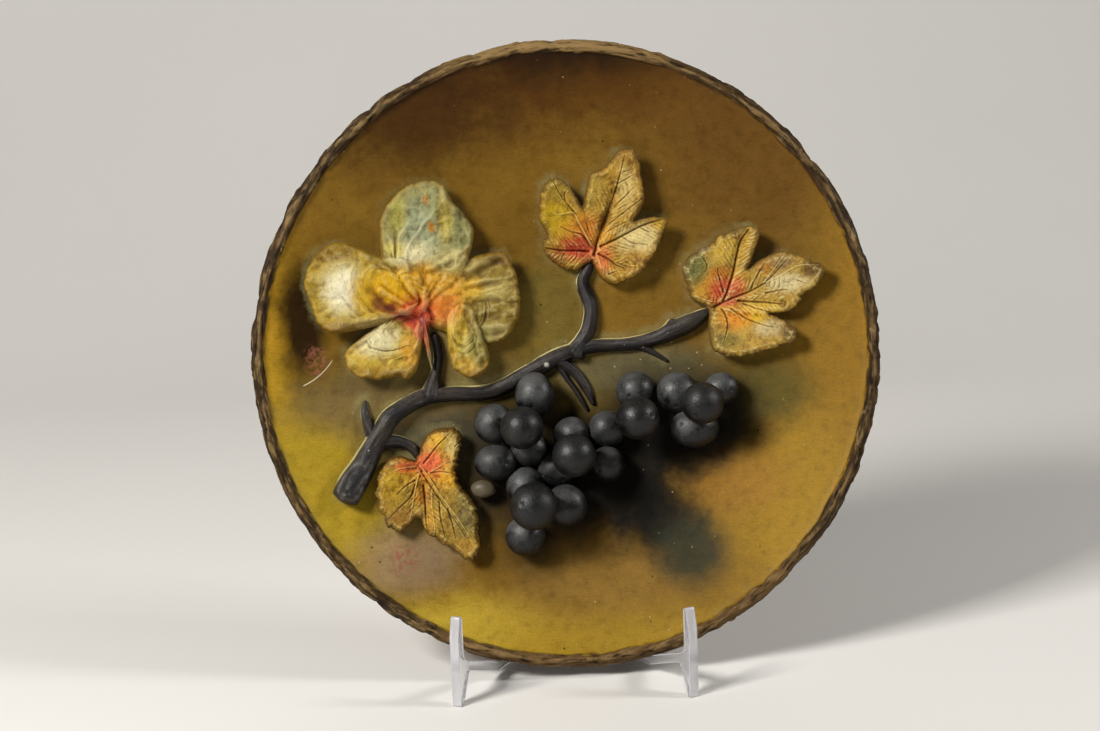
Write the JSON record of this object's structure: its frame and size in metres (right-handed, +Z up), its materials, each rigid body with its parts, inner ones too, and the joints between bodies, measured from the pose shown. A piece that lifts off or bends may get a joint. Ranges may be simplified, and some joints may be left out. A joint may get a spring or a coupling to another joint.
{
  "type": "decorative wall plate",
  "caption": "Round painted clay wall dish with a lumpy rolled rim and a raised spray of vine leaves, a pansy and grapes, leaning in a clear acrylic two-leg easel.",
  "frame": {"origin": "on the table under the middle of the whole, dish and easel together", "axes": "+Z up, +X to the viewer's right, +Y from the front of the dish to its back"},
  "size_m": [0.3196, 0.1406, 0.3174],
  "materials": {
    "painted_clay_ochre": "satin paint over terracotta, shaded from olive ochre to dark brown",
    "painted_clay_bark": "grooved, blackish brown paint with a green-yellow light along its edges",
    "painted_clay_leaf": "satin paint from coral red at the stalk through ochre to olive and cream",
    "painted_clay_petal": "satin paint from red in the throat through orange and yellow to pale grey-green",
    "painted_clay_grape": "satin slate-blue black paint with a dusty bloom",
    "clear_acrylic": "clear, polished, with pale sawn edges"
  },
  "bodies": {
    "root": {"dish": "painted_clay_ochre", "branch": "painted_clay_bark", "leaf_upper": "painted_clay_leaf", "leaf_right": "painted_clay_leaf", "leaf_lower": "painted_clay_leaf", "pansy": "painted_clay_petal", "grape_01": "painted_clay_grape", "grape_02": "painted_clay_grape", "grape_03": "painted_clay_grape", "grape_04": "painted_clay_grape", "grape_05": "painted_clay_grape", "grape_06": "painted_clay_grape", "grape_07": "painted_clay_grape", "grape_08": "painted_clay_grape", "grape_09": "painted_clay_grape", "grape_10": "painted_clay_grape", "grape_11": "painted_clay_grape", "grape_12": "painted_clay_grape", "grape_13": "painted_clay_grape", "grape_14": "painted_clay_grape", "grape_15": "painted_clay_grape", "grape_16": "painted_clay_grape", "grape_17": "painted_clay_grape", "grape_18": "painted_clay_grape", "grape_19": "painted_clay_grape", "grape_20": "painted_clay_grape", "grape_21": "painted_clay_grape", "stand_leg_left": "clear_acrylic", "stand_leg_right": "clear_acrylic"}
  },
  "joints": []
}
